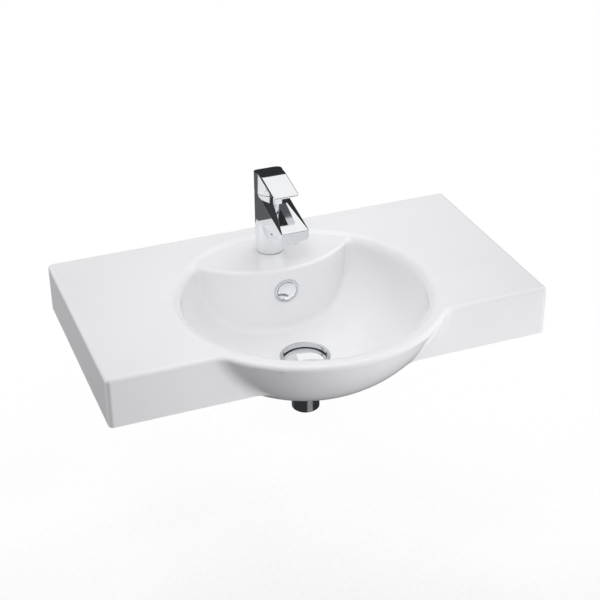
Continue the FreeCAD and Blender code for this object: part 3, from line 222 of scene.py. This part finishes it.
# world: white to the eye and to metal; as light it is a wide soft dome that falls off low down and to the left
sky = {"lowest": 0.15, "highest": 0.74, "lean": (0.3, -0.1, 1.0), "dark": -0.15, "bright": 0.55, "seen": 1.0}
world = bpy.data.worlds.new("studio")
scene.world = world
world.use_nodes = True
tree = world.node_tree
tree.nodes.clear()
way = addNode(tree, "ShaderNodeTexCoord")
height = addNode(tree, "ShaderNodeVectorMath", {"operation": "DOT_PRODUCT"}, i0=(way, "Generated"), i1=sky["lean"])
dome = addNode(tree, "ShaderNodeMapRange", Value=(height, "Value"), From_Min=sky["dark"], From_Max=sky["bright"],
               To_Min=sky["lowest"], To_Max=sky["highest"])
strength = addNode(tree, "ShaderNodeMix", Factor=(seenRays(tree), 0), A=(dome, 0), B=sky["seen"])
glow = addNode(tree, "ShaderNodeBackground", Color=linear("#FFFFFF"), Strength=(strength, 0))
addNode(tree, "ShaderNodeOutputWorld", Surface=(glow, 0))

# soft boxes above, to the right in front, under the bowl's right side and to the left, and a soft spot into the bowl;
# the eye and polished metal don't see them
lamps = {
    "overhead": {"kind": "AREA", "place": (0.6, 0.7, 1.4), "aim": (0, -0.2, 0), "size": 1.6, "power": 11.5},
    "rightFront": {"kind": "AREA", "place": (1.6, -1.7, -0.1), "aim": (0, -0.3, 0), "size": 1.2, "power": 12.5},
    "lowRight": {"kind": "AREA", "place": (0.6, -0.8, -0.78), "aim": (0.12, -0.33, -0.05), "size": 0.5, "power": 5.4},
    "leftLow": {"kind": "AREA", "place": (-1.5, 0.4, 0.15), "aim": (-0.3, -0.15, 0), "size": 0.8, "power": 9.5},
    "bowlSpot": {"kind": "SPOT", "place": (-0.45, -1.15, 1.1), "aim": (0.02, -0.16, 0), "size": 0.3, "power": 58,
                 "cone": 20, "softEdge": 1.0},
}
for name, lamp in lamps.items():
    light = bpy.data.lights.new(name, lamp["kind"])
    light.energy = lamp["power"]
    if lamp["kind"] == "AREA":
        light.size = lamp["size"]
    else:
        light.shadow_soft_size = lamp["size"]
        light.spot_size = math.radians(lamp["cone"])
        light.spot_blend = lamp["softEdge"]
    lampObject = bpy.data.objects.new(name, light)
    scene.collection.objects.link(lampObject)
    lampObject.location = lamp["place"]
    lampObject.rotation_euler = (Vector(lamp["aim"]) - Vector(lamp["place"])).to_track_quat("-Z", "Y").to_euler()
    lampObject.visible_glossy = lampObject.visible_camera = False

# cards that only polished surfaces see, as a studio sets round chrome, each between two opposite corners; the flag
# also holds light off the left, and the small white one puts a clean light on the plug's cap
cards = {
    "backCard": {"shade": "#303133", "corners": ((-1.8, 0.45, 0.05), (2.6, 0.45, 0.77))},
    "lowBackCard": {"shade": "#5D5F62", "corners": ((-1.8, 0.45, -0.8), (2.6, 0.45, 0.05))},
    "leftCard": {"shade": "#3A3B3D", "corners": ((-1.4, -0.1, 1.2), (-0.1, 1.2, 1.2))},
    "tailCard": {"shade": "#A0A2A5", "corners": ((-0.1, -1.9, -0.79), (0.6, -0.6, -0.79))},
    "whiteStrip": {"shade": "#E3E3E6", "corners": ((-0.3, 0.02, 0), (0.3, 0.02, 0.044))},
    "capCard": {"shade": "#FFFFFF", "corners": ((0.002, -0.165, -0.053), (0.064, -0.165, -0.026))},
    "frontCard": {"shade": "#3A3B3D", "corners": ((-6.9, -6.9, -0.8), (6.9, -6.9, 2.5))},
    "lowCard": {"shade": "#3A3B3D", "corners": ((-0.25, -6.9, -0.8), (6.9, 0.45, -0.8))},
    "flag": {"shade": "#3A3B3D", "corners": ((-6.9, -6.9, -0.8), (-0.25, 0.45, -0.8))},
}
for name, card in cards.items():
    (x0, y0, z0), (x1, y1, z1) = card["corners"]
    mesh = bpy.data.meshes.new(name)
    mesh.from_pydata([(x0, y0, z0), (x1, y0, z0), (x1, y1, z1), (x0, y1, z1)], [], [(0, 1, 2, 3)])
    cardObject = bpy.data.objects.new(name, mesh)
    scene.collection.objects.link(cardObject)
    material, tree = newMaterial(f"{name} board")
    glow = addNode(tree, "ShaderNodeEmission", Color=linear(card["shade"]))
    mesh.materials.append(finishMaterial(material, tree, glow))
    for ray in ("camera", "diffuse", "shadow", "transmission", "volume_scatter"):
        setattr(cardObject, f"visible_{ray}", ray == "diffuse" and name == "flag")
print("stage and lamps set")

# camera fitted to the photograph: azimuth, elevation and roll in degrees, focal length and sensor in millimetres
view = {"azimuth": -20.95, "elevation": 29.9, "roll": -0.6404, "distance": 2.06055,
        "target": (0.009724, -0.17, 0.00291), "lens": 83.87, "sensor": 36.0, "farthest": 50.0}
azimuth, elevation, roll = (math.radians(view[angle]) for angle in ("azimuth", "elevation", "roll"))
towards = Vector((math.sin(azimuth) * math.cos(elevation), -math.cos(azimuth) * math.cos(elevation),
                  math.sin(elevation)))
across = Vector((math.cos(azimuth), math.sin(azimuth), 0))
upwards = towards.cross(across)
rolledAcross = across * math.cos(roll) + upwards * math.sin(roll)
rolledUp = upwards * math.cos(roll) - across * math.sin(roll)
camera = bpy.data.objects.new("camera", bpy.data.cameras.new("camera"))
scene.collection.objects.link(camera)
camera.data.lens = view["lens"]
camera.data.sensor_width = view["sensor"]
camera.data.clip_end = view["farthest"]
camera.matrix_world = Matrix.Translation(Vector(view["target"]) + towards * view["distance"]) @ Matrix(
    (rolledAcross, rolledUp, towards)).transposed().to_4x4()
scene.camera = camera
scene.view_settings.view_transform = "Standard"
print("camera set")
